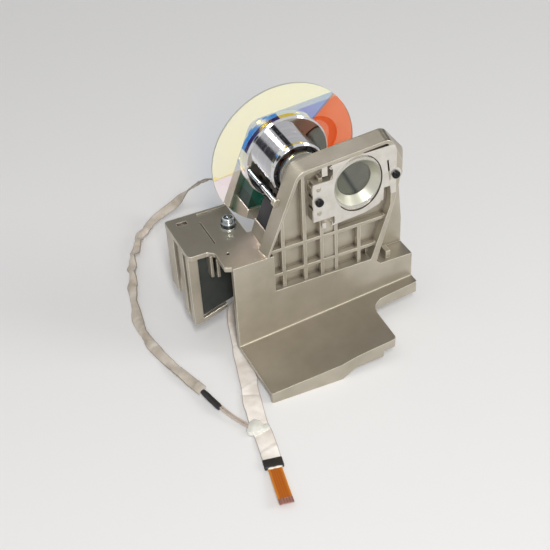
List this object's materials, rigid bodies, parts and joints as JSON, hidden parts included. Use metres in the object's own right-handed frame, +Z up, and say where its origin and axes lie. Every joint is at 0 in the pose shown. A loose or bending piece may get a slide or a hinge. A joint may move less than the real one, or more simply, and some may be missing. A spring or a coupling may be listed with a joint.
{
  "type": "projector color wheel",
  "caption": "Die-cast bracket whose small motor spins a dichroic glass colour disc past a lensed light aperture, with a timing sensor and flat taped leads.",
  "frame": {"origin": "centre of the object's box at its base, leads left out, on the surface it stands on; the wheel's axis lies 93 mm above it on X = 0", "axes": "+X to the right along the front wall, +Y from the front shelf towards the glass disc along the wheel's axis, +Z up"},
  "size_m": [0.1375, 0.2278, 0.1305],
  "materials": {
    "cast_alloy": "blasted die casting, matte with brighter edges",
    "spring_steel": "thin bright spring sheet",
    "black_steel": "black oxide",
    "bright_aluminium": "turned bright",
    "lens_glass": "clear, coated",
    "motor_steel": "turned steel",
    "sintered_bronze": "sintered, oiled",
    "lamination_steel": "stacked laminations",
    "copper_wire": "enamelled copper",
    "zinc_steel": "bright zinc plate",
    "damper_rubber": "black, matte",
    "black_plastic": "moulded, glass-filled",
    "circuit_board": "solder mask",
    "sensor_plastic": "dark epoxy",
    "cloth_tape": "pale woven tape, creased",
    "flex_film": "amber flexible circuit",
    "gold_contacts": "gold flash",
    "lead_tape": "grey-beige tape, folded",
    "black_sleeve": "shrunk sleeve, satin",
    "wire_sheath": "thin beige sheath",
    "glue": "white silicone",
    "polished_steel": "mirror polish",
    "magnet": "bonded magnet",
    "blue_glass": "dichroic coating",
    "green_glass": "dichroic coating",
    "red_glass": "dichroic coating",
    "dark_tape": "dark tape with a violet sheen"
  },
  "bodies": {
    "bracket": {"cast_bracket": "cast_alloy", "clip_plate": "spring_steel", "clip_screws": "black_steel", "lens_ring": "bright_aluminium", "aperture_lens": "lens_glass", "motor_base": "motor_steel", "sleeve_bearing": "sintered_bronze", "stator_core": "lamination_steel", "stator_coils": "copper_wire", "lower_washer": "zinc_steel", "damper_sleeve": "damper_rubber", "upper_washer": "zinc_steel", "mount_screw": "zinc_steel", "sensor_holder": "black_plastic", "sensor_board": "circuit_board", "photo_sensor": "sensor_plastic", "sensor_post": "zinc_steel", "motor_ribbon": "cloth_tape", "ribbon_band": "black_sleeve", "flex_tail": "flex_film", "flex_contacts": "gold_contacts", "sensor_lead": "lead_tape", "heat_shrink": "black_sleeve", "lead_wires": "wire_sheath", "glue_blob": "glue"},
    "wheel": {"motor_shaft": "motor_steel", "rotor_can": "polished_steel", "magnet_ring": "magnet", "wheel_hub": "polished_steel", "glass_blue": "blue_glass", "glass_green": "green_glass", "glass_red": "red_glass", "hub_cap": "polished_steel", "timing_mark": "dark_tape"}
  },
  "joints": [
    {"name": "wheel_spin", "type": "hinge", "parent": "bracket", "child": "wheel", "pos_m": [0, 0.01, 0.093], "axis": [0, 1, 0], "continuous": true}
  ]
}
